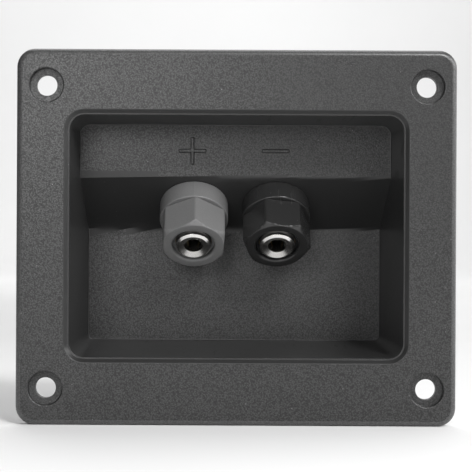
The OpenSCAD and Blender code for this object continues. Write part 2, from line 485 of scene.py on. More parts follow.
def spark_grain() -> Group:
    """Makes the pitted texture that a spark-eroded mould leaves on plastic.

    Returns:
        The group, which puts out a height and a tone from 0 to 1.
    """
    group = Group("spark_grain", {"Vector": None, "Scale": 1500.0}, ["Height", "Tone"])
    tree, given = group.tree, group.given
    pits = add_node(tree, "ShaderNodeTexNoise", {
        "Vector": given["Vector"], "Scale": given["Scale"], "Detail": 3.0, "Roughness": 0.62})
    cells = add_node(tree, "ShaderNodeTexVoronoi", {
        "Vector": given["Vector"], "Scale": combined(tree, "MULTIPLY", given["Scale"], 0.9),
        "Smoothness": 0.6}, feature="SMOOTH_F1")
    crowns = scaled(tree, cells.outputs["Distance"], (0.1, 0.8), (1.0, 0.0))
    height = combined(tree, "ADD", combined(tree, "MULTIPLY", pits.outputs["Fac"], 0.7),
                      combined(tree, "MULTIPLY", crowns, 0.3))
    group.put("Height", height)
    group.put("Tone", scaled(tree, height, (0.38, 0.66), (0.0, 1.0)))
    return group


def handling_marks() -> Group:
    """Makes the dust, lint specks and faint rubs that a handled part carries.

    Returns:
        The group, which puts out masks for specks, rubs and slow clouding.
    """
    group = Group("handling_marks", {"Vector": None}, ["Specks", "Rubs", "Clouds"])
    tree, given = group.tree, group.given
    cells = add_node(tree, "ShaderNodeTexVoronoi", {"Vector": given["Vector"], "Scale": 900.0})
    chosen = scaled(tree, add_node(tree, "ShaderNodeSeparateColor", {
        "Color": cells.outputs["Color"]}).outputs["Red"], (0.92, 0.95), (0.0, 1.0))
    near = scaled(tree, cells.outputs["Distance"], (0.05, 0.13), (1.0, 0.0))
    group.put("Specks", combined(tree, "MULTIPLY", chosen, near))
    stretch = add_node(tree, "ShaderNodeMapping", {
        "Vector": given["Vector"], "Rotation": (0.3, 0.5, 0.9), "Scale": (1.0, 0.12, 0.16)})
    streaks = add_node(tree, "ShaderNodeTexNoise", {
        "Vector": stretch.outputs["Vector"], "Scale": 900.0, "Detail": 2.0})
    patches = add_node(tree, "ShaderNodeTexNoise", {"Vector": given["Vector"], "Scale": 90.0})
    group.put("Rubs", combined(
        tree, "MULTIPLY", scaled(tree, streaks.outputs["Fac"], (0.62, 0.72), (0.0, 1.0)),
        scaled(tree, patches.outputs["Fac"], (0.5, 0.65), (0.0, 1.0))))
    clouds = add_node(tree, "ShaderNodeTexNoise", {
        "Vector": given["Vector"], "Scale": 45.0, "Detail": 2.0})
    group.put("Clouds", clouds.outputs["Fac"])
    return group


def turned_lines() -> Group:
    """Makes the fine rings that a lathe tool leaves round local +Z.

    Returns:
        The group, which puts out a height from 0 to 1.
    """
    group = Group("turned_lines", {"Vector": None, "Scale": 9000.0}, ["Height"])
    tree, given = group.tree, group.given
    parts = add_node(tree, "ShaderNodeSeparateXYZ", {"Vector": given["Vector"]}).outputs
    radius = combined(tree, "SQRT", combined(
        tree, "ADD", combined(tree, "MULTIPLY", parts["X"], parts["X"]),
        combined(tree, "MULTIPLY", parts["Y"], parts["Y"])), 0.0)
    place = add_node(tree, "ShaderNodeCombineXYZ", {"X": radius, "Y": parts["Z"]})
    lines = add_node(tree, "ShaderNodeTexNoise", {
        "Vector": place.outputs["Vector"], "Scale": given["Scale"], "Detail": 2.0})
    group.put("Height", lines.outputs["Fac"])
    return group


@dataclass
class Effects:
    """The node groups that the finishes share."""

    grain: Group
    marks: Group
    lines: Group


@dataclass(frozen=True)
class Plastic:
    """A moulded plastic finish."""

    name: str
    colour: Colour
    roughness: float
    specular: float = 0.5
    grain_scale: float = 2600.0
    grain_depth: float = 0.002
    grain_tone: float = 0.03
    dust: float = 0.25

    def material(self, effects: Effects) -> bpy.types.Material:
        """Builds the material.

        Args:
            effects: The shared node groups.

        Returns:
            The material.
        """
        made, tree, place = start_material(self.name)
        grain = effects.grain.place(tree, Vector=place, Scale=self.grain_scale).outputs
        marks = effects.marks.place(tree, Vector=place).outputs
        tone = combined(tree, "ADD",
                        scaled(tree, grain["Tone"], (0.0, 1.0), (-self.grain_tone, self.grain_tone)),
                        scaled(tree, marks["Clouds"], (0.3, 0.7), (0.96, 1.04)))
        base = add_node(tree, "ShaderNodeMix", {
            "Factor": 1.0, "A": (*self.colour, 1.0), "B": grey(tree, tone)},
            data_type="RGBA", blend_type="MULTIPLY")
        dusty = add_node(tree, "ShaderNodeMix", {
            "Factor": scaled(tree, marks["Specks"], (0.0, 1.0), (0.0, self.dust)),
            "A": base.outputs[2], "B": (0.45, 0.45, 0.45, 1.0)}, data_type="RGBA")
        glint = 0.1 * self.grain_tone
        rough = combined(tree, "ADD",
                         scaled(tree, marks["Rubs"], (0.0, 1.0), (self.roughness, self.roughness + 0.1)),
                         scaled(tree, grain["Tone"], (0.0, 1.0), (glint, -glint)))
        fill(tree.nodes["Principled BSDF"], {
            "Specular IOR Level": self.specular, "Base Color": dusty.outputs[2], "Roughness": rough,
            "Normal": bumped(tree, grain["Height"], self.grain_depth)})
        return made


@dataclass(frozen=True)
class Metal:
    """A turned or stamped metal finish."""

    name: str
    colour: Colour
    roughness: float
    line_scale: float = 9000.0
    line_depth: float = 0.0006
    tarnish: float = 0.12

    def material(self, effects: Effects) -> bpy.types.Material:
        """Builds the material.

        Args:
            effects: The shared node groups.

        Returns:
            The material.
        """
        made, tree, place = start_material(self.name)
        lines = effects.lines.place(tree, Vector=place, Scale=self.line_scale).outputs
        marks = effects.marks.place(tree, Vector=place).outputs
        dull = tuple(channel * (1 - self.tarnish) for channel in self.colour)
        base = add_node(tree, "ShaderNodeMix", {
            "Factor": scaled(tree, marks["Clouds"], (0.35, 0.65), (0.0, 1.0)),
            "A": (*self.colour, 1.0), "B": (*dull, 1.0)}, data_type="RGBA")
        rough = combined(tree, "ADD",
                         scaled(tree, marks["Clouds"], (0.3, 0.7), (self.roughness, self.roughness + 0.06)),
                         scaled(tree, marks["Rubs"], (0.0, 1.0), (0.0, 0.12)))
        fill(tree.nodes["Principled BSDF"], {
            "Metallic": 1.0, "Base Color": base.outputs[2], "Roughness": rough,
            "Normal": bumped(tree, lines["Height"], self.line_depth)})
        return made


class Paintbox:
    """Every finish of the object, built once each."""

    def __init__(self) -> None:
        """Builds the node groups and the materials."""
        effects = Effects(spark_grain(), handling_marks(), turned_lines())
        finishes = (
            Plastic("cup_grained", (0.025, 0.025, 0.025), 0.38, specular=0.7, grain_scale=3300.0,
                    grain_depth=0.06, grain_tone=0.95, dust=0.4),
            Plastic("cup_smooth", (0.026, 0.026, 0.026), 0.36, dust=0.15),
            # Paler colour for the flange's outer rounded edge: painted highlight for the grazing reflection
            # along it.
            Plastic("cup_edge", (0.058, 0.058, 0.058), 0.36, specular=0.7, grain_scale=3300.0,
                    grain_depth=0.02, grain_tone=0.4, dust=0.2),
            Plastic("positive_plastic", (0.152, 0.152, 0.152), 0.34, dust=0.1),
            Plastic("negative_plastic", (0.023, 0.023, 0.023), 0.23, grain_depth=0.0015, dust=0.2),
            Metal("nickel_plate", (0.7, 0.69, 0.67), 0.2, line_depth=0.0012),
            # Darker nickel for the post's threads: painted shade for the deep, narrow gap round the front
            # thread.
            Metal("thread_nickel", (0.16, 0.155, 0.15), 0.45, tarnish=0.3),
            Metal("brass", (0.7, 0.52, 0.26), 0.28, line_depth=0.001),
            Metal("spring_steel", (0.42, 0.42, 0.43), 0.34, tarnish=0.3),
            Metal("tinned_brass", (0.7, 0.69, 0.67), 0.36, line_depth=0.0, tarnish=0.2),
        )
        self.materials = {finish.name: finish.material(effects) for finish in finishes}

    def paint(self, target: bpy.types.Object, *names: str) -> None:
        """Gives an object its materials, in the order of their face numbers."""
        for name in names:
            target.data.materials.append(self.materials[name])


# ---- the cup ----


@dataclass
class Stations:
    """Places round a rounded rectangle, each a share of its core and a direction out of it."""

    side_shares: np.ndarray
    top_steps: int = 24
    corner_steps: int = 8

    def __post_init__(self) -> None:
        """Lists the stations from the right side's foot, against the clock."""
        top = np.linspace(1, -1, self.top_steps + 1)
        bend = np.linspace(0, math.pi / 2, self.corner_steps + 1)[1:-1]
        runs = []
        for quarter in range(4):
            turn = quarter * math.pi / 2
            cos, sin = round(math.cos(turn)), round(math.sin(turn))
            along = (self.side_shares, top, -self.side_shares, -top)[quarter]
            straight = [(cos, share, cos, sin) if cos else (share, sin, cos, sin) for share in along]
            core = (1, 1), (-1, 1), (-1, -1), (1, -1)
            arc = [(*core[quarter], math.cos(turn + t), math.sin(turn + t)) for t in bend]
            runs += [np.array(straight, float), np.array(arc, float)]
        self.table = np.concatenate(runs)
        self.starts = np.cumsum([0] + [len(run) for run in runs])

    def ring(self, core: tuple[float, float], lift: float, reach: float | np.ndarray,
             depth: float | np.ndarray) -> np.ndarray:
        """Places every station.

        Args:
            core: Half width and half height of the rectangle between the corner centres.
            lift: Height of the rectangle's centre.
            reach: Distance out of the core, for all stations or one for each.
            depth: Place along +Y, for all stations or one for each.

        Returns:
            Three coordinates for each station.
        """
        x = self.table[:, 0] * core[0] + self.table[:, 2] * reach
        z = lift + self.table[:, 1] * core[1] + self.table[:, 3] * reach
        return np.stack([x, np.broadcast_to(depth, x.shape), z], axis=-1)

    def rows(self, ring: np.ndarray) -> list[tuple[np.ndarray, np.ndarray]]:
        """Pairs the ring's left and right stations, from the top row to the bottom one.

        Args:
            ring: Three coordinates for each station.

        Returns:
            The left and right ends of each row.
        """
        right, arc_a, top, arc_b, left, arc_c, bottom, arc_d = (
            ring[a:b] for a, b in zip(self.starts[:-1], self.starts[1:]))
        lefts = [top[-1], *arc_b, *left, *arc_c, bottom[0]]
        rights = [top[0], *arc_a[::-1], *right[::-1], *arc_d[::-1], bottom[-1]]
        return list(zip(lefts, rights))


@dataclass
class Cup:
    """The moulded cup: flange, recess with a stepped floor, shell and polarity marks."""

    flange_width: float
    flange_height: float
    flange_thickness: float
    screw_x: float
    screw_z: float
    screw_radius: float
    flange_corner: float = 4.0
    # Reach of the painted edge highlight in from the flange's outline.
    front_edge: float = 1.5
    highlight_reach: float = 2.6
    screw_head_step: float = 1.4
    screw_head_depth: float = 1.4
    screw_entry: float = 0.35
    side_land: float = 11.5
    top_land: float = 14.5
    recess_lift: float = 0.2
    recess_corner: float = 3.3
    rim_width: float = 1.05
    rim_depth: float = 0.85
    rim_land: float = 0.28
    rim_round: float = 0.16
    draft: float = 3.8
    upper_depth: float = 14.5
    upper_panel_height: float = 12.0
    ledge_tilt: float = 47.2
    ledge_length: float = 17.2
    wall: float = 2.2
    floor_bend: float = 0.35
    foot_fillet: float = 0.2
    row_gap: float = 0.3
    mark_length: float = 6.0
    mark_stroke: float = 0.5
    mark_raise: float = 0.5
    mark_skirt: float = 0.2
    mark_corner: float = 0.16
    mark_sink: float = 0.4
    mark_x: float = 9.5
    mark_shift: float = -0.35

    def __post_init__(self) -> None:
        """Works out the places that several parts of the cup share."""
        self.slope = math.tan(math.radians(self.draft))
        self.front = -self.flange_thickness
        self.core = (self.flange_width / 2 - self.side_land - self.recess_corner,
                     self.flange_height / 2 - self.top_land - self.recess_corner)
        self.upper = self.front + self.upper_depth
        tilt = math.radians(self.ledge_tilt)
        self.lower = self.upper + self.ledge_length * math.sin(tilt)
        roof = self.recess_lift + self.core[1] + self.recess_corner
        self.ledge_top = roof - self.upper_depth * self.slope - self.upper_panel_height
        self.ledge_bottom = self.ledge_top - self.ledge_length * math.cos(tilt)
        self.shell_grow = self.wall / math.cos(math.radians(self.draft))
        self.shell_rise = self.wall * math.tan(tilt / 2)

    def floor_line(self, thickness: float, rise: float) -> np.ndarray:
        """Draws the floor's side view, with its two bends rounded.

        Args:
            thickness: How far behind the front surface the line lies.
            rise: How far above the front surface's bends its own bends lie.

        Returns:
            Height and depth of each point, from the bottom up.
        """
        far = self.flange_height
        corners = [(-far, self.lower + thickness, 0.0),
                   (self.ledge_bottom + rise, self.lower + thickness, self.floor_bend),
                   (self.ledge_top + rise, self.upper + thickness, self.floor_bend),
                   (far, self.upper + thickness, 0.0)]
        return rounded_path(corners, closed=False)

    def heights(self, *lines: np.ndarray) -> np.ndarray:
        """Chooses the rows of the side walls, closer where a floor bends.

        Args:
            *lines: The floors' side views.

        Returns:
            Heights as shares of the core's half height, rising from -1 to 1.
        """
        even = np.linspace(-1, 1, 29) * self.core[1] + self.recess_lift
        bends = [height for line in lines for height, _ in line if abs(height) < self.core[1]]
        clear = [height for height in even if min(abs(height - bend) for bend in bends) > self.row_gap]
        return (np.array(sorted(bends + clear)) - self.recess_lift) / self.core[1]

    def wall_foot(self, stations: Stations, line: np.ndarray, corner: float) -> np.ndarray:
        """Finds the depth at which each station of a drafted wall meets the floor.

        Args:
            stations: Places round the wall.
            line: The floor's side view.
            corner: The wall's corner radius at the flange's front face.

        Returns:
            One depth for each station.
        """
        depth = np.full(len(stations.table), self.lower)
        for _ in range(12):
            reach = corner - (depth - self.front) * self.slope
            heights = stations.ring(self.core, self.recess_lift, reach, depth)[:, 2]
            depth = np.interp(heights, line[:, 0], line[:, 1])
        return depth

    def drafted_wall(self, stations: Stations, line: np.ndarray, corner: float, top: float,
                     steps: int) -> list[np.ndarray]:
        """Builds a wall's rings from its top down to the floor, with a fillet at its foot.

        Args:
            stations: Places round the wall.
            line: The floor's side view.
            corner: The wall's corner radius at the flange's front face.
            top: Depth of the wall's first ring.
            steps: Rings between the top and the fillet.

        Returns:
            The rings, the last one on the floor.
        """
        foot = self.wall_foot(stations, line, corner)
        rings = []
        for share in np.linspace(0, 1, steps + 1):
            depth = top + (foot - self.foot_fillet - top) * share
            reach = corner - (depth - self.front) * self.slope
            rings.append(stations.ring(self.core, self.recess_lift, reach, depth))
        reach = corner - (foot - self.front) * self.slope
        edge = stations.ring(self.core, self.recess_lift, reach, foot)
        inner = stations.ring(self.core, self.recess_lift, reach - self.foot_fillet, foot)
        inner[:, 1] = np.interp(inner[:, 2], line[:, 0], line[:, 1])
        start = rings[-1]
        for t in np.linspace(0, 1, 5)[1:]:
            rings.append((1 - t) ** 2 * start + 2 * t * (1 - t) * edge + t * t * inner)
        return rings

    def floor(self, stations: Stations, border: np.ndarray, line: np.ndarray) -> tuple[np.ndarray, Faces]:
        """Fills the floor inside a ring with level rows.

        Args:
            stations: Places round the ring.
            border: The ring.
            line: The floor's side view.

        Returns:
            The vertices and the faces.
        """
        rows = stations.rows(border)
        shares = np.linspace(0, 1, stations.top_steps + 1)[:, None]
        points = []
        for left, right in rows:
            row = left + (right - left) * shares
            row[1:-1, 1] = np.interp(row[1:-1, 2], line[:, 0], line[:, 1])
            points.append(row)
        return np.concatenate(points), grid_faces(len(rows), len(shares), False, False)

    def rim(self) -> np.ndarray:
        """Draws the section of the recess's rim: a chamfer, a narrow land and the wall's first part.

        Returns:
            Distance out of the wall's corner radius, and depth, from the flange's face inward.
        """
        foot = self.front + self.rim_depth
        corners = [(6.0, self.front, 0.0), (self.rim_width, self.front, self.rim_round * 2),
                   (self.rim_land, foot, self.rim_round),
                   (-self.slope * self.rim_depth, foot, self.rim_round),
                   (-self.slope * 9.0, self.front + 9.0, 0.0)]
        return rounded_path(corners, closed=False)[1:-1]

    def shell(self) -> bpy.types.Object:
        """Builds the flange, recess and shell as one closed skin without holes.

        Returns:
            The object.
        """
        face_line = self.floor_line(0.0, 0.0)
        back_line = self.floor_line(self.wall, self.shell_rise)
        stations = Stations(self.heights(face_line, back_line))
        rim = self.rim()
        wall = self.drafted_wall(stations, face_line, self.recess_corner, rim[-1][1], 8)
        rings = wall[::-1]
        for out, depth in rim[-2::-1]:
            rings.append(stations.ring(self.core, self.recess_lift, self.recess_corner + out, depth))
        core = (self.flange_width / 2 - self.flange_corner, self.flange_height / 2 - self.flange_corner)
        edge = rounded_path([(-6.0, self.front, 0.0), (0.0, self.front, self.front_edge),
                             (0.0, 0.0, 0.0)], closed=False, steps=8)[1:]
        for out, depth in edge:
            rings.append(stations.ring(core, 0.0, self.flange_corner + out, depth))
        corner = self.recess_corner + self.shell_grow
        root = rounded_path([(8.0, 0.0, 0.0), (-self.flange_thickness * self.slope, 0.0, 0.6),
                             (-self.slope * 12.0, 9.0, 0.0)], closed=False, steps=4)[1:-1]
        for out, depth in root[:-1]:
            rings.append(stations.ring(self.core, self.recess_lift, corner + out, depth))
        rings += self.drafted_wall(stations, back_line, corner, root[-1][1], 8)
        skin = np.concatenate(rings), grid_faces(len(rings), len(stations.table), False, True)
        front = self.floor(stations, rings[0], face_line)
        back = self.floor(stations, rings[-1], back_line)
        return make_object("cup_body_look", *merged([skin, front, back]))

    def screw_cutter(self, x: float, z: float) -> tuple[np.ndarray, Faces]:
        """Makes the shape of one counterbored screw hole, with a rounded entry.

        Args:
            x: Place of the hole.
            z: Place of the hole.

        Returns:
            The vertices and the faces.
        """
        head = self.screw_radius + self.screw_head_step
        seat = self.flange_thickness - self.screw_head_depth
        proud = self.flange_thickness + 0.004
        path = rounded_path([(0.0, -1.0, 0.0), (self.screw_radius, -1.0, 0.0),
                             (self.screw_radius, seat, 0.12), (head, seat, 0.12),
                             (head, proud, self.screw_entry), (head + 0.8, proud, 0.0),
                             (head + 0.8, proud + 1.0, 0.0), (0.0, proud + 1.0, 0.0)], closed=False)
        points, faces = lathe(path, 72, closed=False)
        return np.stack([points[:, 0] + x, -points[:, 2], points[:, 1] + z], axis=-1), faces

    def stroke(self, x: float, long_x: float, long_z: float) -> bpy.types.Object:
        """Makes one raised stroke of a polarity mark, sunk a little into the upper panel.

        Args:
            x: Place of the stroke's centre.
            long_x: The stroke's size across.
            long_z: The stroke's size up.

        Returns:
            The object.
        """
        stations = Stations(np.linspace(-1, 1, 3), top_steps=2, corner_steps=4)
        core = (long_x / 2 - self.mark_corner, long_z / 2 - self.mark_corner)
        height = self.ledge_top + self.upper_panel_height / 2
        top = self.upper - self.mark_raise
        sunk = self.upper + self.mark_sink
        profile = rounded_path([(self.mark_skirt, sunk, 0.0), (self.mark_skirt, self.upper, 0.0),
                                (0.0, top, 0.06), (0.005 - self.mark_corner, top, 0.0)], closed=False)
        rings = [stations.ring(core, height, self.mark_corner + out, depth) for out, depth in profile]
        points, faces = capped(rings)
        points[:, 0] += x
        return make_object("stroke", points, faces)

    def build(self, holes: Sequence[tuple[np.ndarray, Faces]]) -> bpy.types.Object:
        """Builds the whole cup.

        Args:
            holes: Shapes of the holes for the two posts.

        Returns:
            The object.
        """
        body = self.shell()
        screws = [self.screw_cutter(sx * self.screw_x, sz * self.screw_z) for sx in (-1, 1) for sz in (-1, 1)]
        combine(body, make_object("holes", *merged([*screws, *holes])), Joining.CUT)
        level, upright = (self.mark_length, self.mark_stroke), (self.mark_stroke, self.mark_length)
        for x, size in ((-self.mark_x, level), (-self.mark_x, upright), (self.mark_x, level)):
            combine(body, self.stroke(x + self.mark_shift, *size), Joining.ADD)
        return body

    def dress(self, body: bpy.types.Object, paints: Paintbox) -> None:
        """Paints the flange and the two panels grained, the outer edge's rounding paler as a painted
        highlight, and the rest smooth.

        Args:
            body: The cup.
            paints: The finishes.
        """
        paints.paint(body, "cup_grained", "cup_smooth", "cup_edge")
        mouth = self.core[0] + self.recess_corner, self.core[1] + self.recess_corner
        levels = self.upper, self.lower, self.upper - self.mark_raise
        near = 0.01
        for face in body.data.polygons:
            x, y, z = face.center / MM
            out = max(abs(x) - mouth[0], abs(z - self.recess_lift) - mouth[1])
            inset = min(self.flange_width / 2 - abs(x), self.flange_height / 2 - abs(z))
            panel = face.normal.y < -0.999 and min(abs(y - level) for level in levels) < near
            flange = y < self.front + near or (y < near and out > self.rim_width + 0.1)
            # Painted highlight: faces on the outer edge's rounding take the paler third finish.
            edge = inset < self.highlight_reach and self.front + 2 * near < y < self.front + self.front_edge
            face.material_index = 2 if edge else 0 if panel or flange else 1
        smooth(body)


# ---- the binding posts ----


def smaller(first: np.ndarray, second: np.ndarray, edge: float) -> np.ndarray:
    """Takes the smaller of two radii, with the ridge between them rounded.

    Args:
        first: One radius at each place.
        second: The other radius at each place.
        edge: How broad the rounding is.

    Returns:
        The smaller radius at each place.
    """
    gap = np.minimum(np.abs(first - second) / edge, 60.0)
    return np.minimum(first, second) - edge * np.log1p(np.exp(-gap))


def hexagon(flats: float, turn: float, corner: float, ridge: float) -> Shape:
    """Limits a turned shape to a hexagonal bar.

    Args:
        flats: Size across the flats.
        turn: Turn of a flat from facing up, in degrees.
        corner: How broad the rounding of the bar's corners is.
        ridge: How broad the rounding is between the bar and the turned shape.

    Returns:
        The change of radius.
    """
    def shape(angle: np.ndarray, radius: np.ndarray, station: np.ndarray) -> np.ndarray:
        """Gives the radius at each angle."""
        bar = np.full_like(angle, FAR)
        for side in range(6):
            facing = np.cos(angle - math.radians(90 + turn + 60 * side))
            flat = np.where(facing > 0.2, flats / 2 / np.maximum(facing, 0.2), FAR)
            bar = smaller(bar, flat, corner)
        return smaller(np.broadcast_to(bar, radius.shape), radius, ridge)
    return shape


def thread(start: float, end: float, pitch: float, depth: float, low: float, high: float) -> Shape:
    """Cuts a screw thread into a turned shape.

    Args:
        start: Station where the thread starts.
        end: Station where it ends.
        pitch: Distance between turns.
        depth: Depth of the groove, negative for a thread inside a bore.
        low: Smallest radius that is cut.
        high: Largest radius that is cut.

    Returns:
        The change of radius.
    """
    def shape(angle: np.ndarray, radius: np.ndarray, station: np.ndarray) -> np.ndarray:
        """Gives the radius at each angle."""
        phase = (station / pitch - angle / math.tau) % 1.0
        groove = np.clip(1.4 * np.abs(2 * phase - 1) - 0.2, 0, 1)
        fade = np.clip((station - start) / pitch, 0, 1) * np.clip((end - station) / pitch, 0, 1)
        chosen = (radius > low) & (radius < high)
        return np.where(chosen, radius - depth * groove * fade, radius)
    return shape


def chained(*shapes: Shape) -> Shape:
    """Applies several changes of radius, one after another."""
    def shape(angle: np.ndarray, radius: np.ndarray, station: np.ndarray) -> np.ndarray:
        """Gives the radius at each angle."""
        for change in shapes:
            radius = change(angle, radius, station)
        return radius
    return shape


def keyed(half_width: float, reach: float, low: float, high: float, limit: float) -> Shape:
    """Adds a key that stands up the ledge to a turned shape.

    Args:
        half_width: Half the key's width.
        reach: The key's top, from the axis.
        low: Lowest station of the key.
        high: Highest station of the key.
        limit: Only smaller radii get the key.

    Returns:
        The change of radius.
    """
    def shape(angle: np.ndarray, radius: np.ndarray, station: np.ndarray) -> np.ndarray:
        """Gives the radius at each angle."""
        rise = np.maximum(np.sin(angle), 0.2)
        inside = (np.abs(np.cos(angle)) * reach / rise < half_width * 1.04) & (np.sin(angle) > 0.2)
        chosen = inside & (station > low) & (station < high) & (radius < limit)
        return np.where(chosen, reach / rise, radius)
    return shape


def double_d(half_flats: float, low: float, high: float, narrow: float, wide: float) -> Shape:
    """Limits a turned shape to two flats that face up and down the ledge.

    Args:
        half_flats: Half the size across the flats.
        low: Lowest station of the flats.
        high: Highest station of the flats.
        narrow: Only larger radii get the flats.
        wide: Only smaller radii get the flats.

    Returns:
        The change of radius.
    """
    def shape(angle: np.ndarray, radius: np.ndarray, station: np.ndarray) -> np.ndarray:
        """Gives the radius at each angle."""
        flat = half_flats / np.maximum(np.abs(np.sin(angle)), 0.1)
        chosen = (station > low) & (station < high) & (radius > narrow) & (radius < wide)
        return np.where(chosen, np.minimum(radius, flat), radius)
    return shape


@dataclass
class BindingPost:
    """One insulated binding post, from its solder tab at the rear to its thumb nut at the front."""

    side: Side
    place: Matrix
    socket_radius: float
    wire_radius: float
    nut_turn: float
    collar_diameter: float = 15.8
    collar_length: float = 5.0
    spigot_diameter: float = 9.2
    key_half_width: float = 1.0
    key_reach: float = 5.9
    wall: float = 2.2
    thread_diameter: float = 8.0
    stud_diameter: float = 6.0
    seat: float = 1.4
    flange_length: float = 1.5
    flange_diameter: float = 10.4
    flange_flats: float = 8.8
    face: float = 13.5
    socket_depth: float = 18.2
    countersink: float = 0.6
    countersink_land: float = 3.42
    face_rim: float = 0.48
    nut_base: float = 5.1
    nut_tip: float = 13.1
    nut_flats: float = 13.8
    mouth_diameter: float = 9.6
    pocket_end: float = 11.25
    mouth_web: float = 0.35
    mouth_lip: float = 0.7
    nose_in: float = 1.05
    nose_fall: float = 0.06
    nose_length: float = 0.95
    insert_diameter: float = 11.2
    insert_length: float = 6.0
    wire_station: float = 6.8
    bush_diameter: float = 13.6
    bush_length: float = 1.6
    washer_diameter: float = 11.4
    washer_length: float = 1.0
    lock_diameter: float = 10.2
    lock_length: float = 1.3
    hex_flats: float = 10.0
    hex_length: float = 3.2
    tab_thickness: float = 0.8
    tab_width: float = 5.0
    tab_reach: float = 14.0
    tab_eye: float = 2.6
    gap: float = 0.1
    pitch: float = 1.0
    thread_depth: float = 0.42
    stud_thread_depth: float = 0.36
    stud_thread_end: float = -0.4
    stud_spare: float = 1.7

    def __post_init__(self) -> None:
        """Stacks the rear hardware's stations."""
        self.stud_radius = self.stud_diameter / 2
        self.bush_at = -self.wall - self.bush_length
        self.washer_at = self.bush_at - self.washer_length
        self.lock_at = self.washer_at - self.lock_length
        self.clamp_at = self.lock_at - self.hex_length
        self.tab_at = self.clamp_at - self.tab_thickness
        self.tab_nut_at = self.tab_at - self.hex_length
        self.stud_end = self.tab_nut_at - self.stud_spare

    def turned(self, name: str, corners: Sequence[Corner], steps: int, shape: Shape | None = None,
               rows: tuple[float, float, float] | None = None, closed: bool = True) -> bpy.types.Object:
        """Makes a turned piece on the post's axis.

        Args:
            name: The piece's name.
            corners: Radius, station and rounding of each corner of its section.
            steps: Vertices in each turned row.
            shape: Change of radius for flats, threads and keys.
            rows: Stations between which rows are added, and the step between them.
            closed: Whether the section is a closed loop.

        Returns:
            The object, still at the origin.
        """
        path = rounded_path(corners, closed)
        if rows is not None:
            path = stepped(path, *rows)
        return make_object(f"{self.side.value}_{name}_look", *lathe(path, steps, shape, closed))

    def hole(self) -> tuple[np.ndarray, Faces]:
        """Makes the shape of the post's keyed hole through the ledge, in the cup's frame.

        Returns:
            The vertices and the faces.
        """
        key = keyed(self.key_half_width + self.gap, self.key_reach + self.gap, -9.0, 9.0, 9.0)

        def shape(angle: np.ndarray, radius: np.ndarray, station: np.ndarray) -> np.ndarray:
            """Gives the radius at each angle, and keeps the points on the axis."""
            return np.where(radius > 1.0, key(angle, radius, station), radius)

        points, faces = pin(self.spigot_diameter / 2 + self.gap, -4.5, 1.0, 120, shape)
        turn = np.array(self.place.to_3x3())
        return points @ turn.T + np.array(self.place.translation) / MM, faces

    def base_collar(self) -> bpy.types.Object:
        """Makes the round plastic base under the thumb nut, with its spigot and key."""
        outer, bore, spigot = self.collar_diameter / 2, self.stud_radius + self.gap, self.spigot_diameter / 2
        pocket = self.flange_diameter / 2 + self.gap
        key_low = -self.wall / 2
        corners = [(bore, 0.2 - self.wall, 0.1), (spigot, 0.2 - self.wall, 0.15), (spigot, key_low, 0.0),
                   (spigot, key_low + 0.01, 0.0), (spigot, 0.0, 0.0), (outer, 0.0, 0.35),
                   (outer, self.collar_length, 0.3), (pocket, self.collar_length, 0.1),
                   (pocket, self.seat, 0.0), (bore, self.seat, 0.0)]
        key = keyed(self.key_half_width, self.key_reach, key_low + 0.005, 0.005, spigot + 0.01)
        flats = double_d(self.flange_flats / 2 + self.gap, self.seat - 0.01, 9.0, bore + 0.1, pocket + 0.01)
        return self.turned("base_collar", corners, 288, chained(key, flats, self.mould_line))

    def mould_line(self, angle: np.ndarray, radius: np.ndarray, station: np.ndarray) -> np.ndarray:
        """Raises the fine line where the mould's halves met, and the nub that its gate left."""
        outer = self.collar_diameter / 2
        line = 0.05 * np.exp(-((angle - math.pi / 2) / 0.022) ** 2)
        from_gate = np.minimum(angle, math.tau - angle)
        nub = 0.16 * np.exp(-(from_gate / 0.03) ** 2 - ((station - self.collar_length / 2) / 0.35) ** 2)
        inside = (station > 0.1) & (station < self.collar_length - 0.1)
        return np.where(inside & (radius > outer - 0.05), radius + line + nub, radius)

    def post(self) -> bpy.types.Object:
        """Makes the threaded metal post with its plug socket, countersink and wire hole."""
        outer, stud, socket = self.thread_diameter / 2, self.stud_radius, self.socket_radius
        flange_top = self.seat + self.flange_length
        rim = self.face - self.face_rim
        bottom = self.face - self.socket_depth
        corners = [(0.0, self.stud_end, 0.0), (stud - 0.4, self.stud_end, 0.0),
                   (stud, self.stud_end + 0.4, 0.0), (stud, self.seat, 0.0),
                   (self.flange_diameter / 2, self.seat, 0.08), (self.flange_diameter / 2, flange_top, 0.1),
                   (outer, flange_top, 0.1), (outer, rim, 0.12),
                   (self.countersink_land, self.face, 0.12), (socket, self.face - self.countersink, 0.06),
                   (socket, bottom, 0.0), (0.0, bottom - socket * 0.58, 0.0)]
        front = thread(flange_top + 0.3, rim, self.pitch, self.thread_depth, stud + 0.2, outer + 0.02)
        rear = thread(self.stud_end - 0.6, self.stud_thread_end, self.pitch, self.stud_thread_depth,
                      socket + 0.3, stud + 0.02)
        flats = double_d(self.flange_flats / 2, self.seat - 0.01, flange_top + 0.01, outer + 0.02, 9.0)
        made = self.turned("post", corners, 96, chained(front, rear, flats),
                           (self.stud_end, self.face, self.pitch / 9), closed=False)
        drill, faces = pin(self.wire_radius, -6.0, 6.0, 48)
        across = np.stack([drill[:, 2], drill[:, 1], drill[:, 0] + self.wire_station], axis=-1)
        combine(made, make_object("drill", across, faces), Joining.CUT)
        return made

    def shade_threads(self, post: bpy.types.Object) -> None:
        """Gives the post's threads a darker second finish: painted shade for the deep, narrow gap round the
        front thread; the rear stud's thread gets it too.
        """
        for face in post.data.polygons:
            x, y, station = face.center / MM
            front = self.seat + self.flange_length < station < self.face - self.face_rim + 0.01
            outside = math.hypot(x, y) > self.stud_radius - 0.5
            face.material_index = 1 if outside and (front or station < self.stud_thread_end) else 0

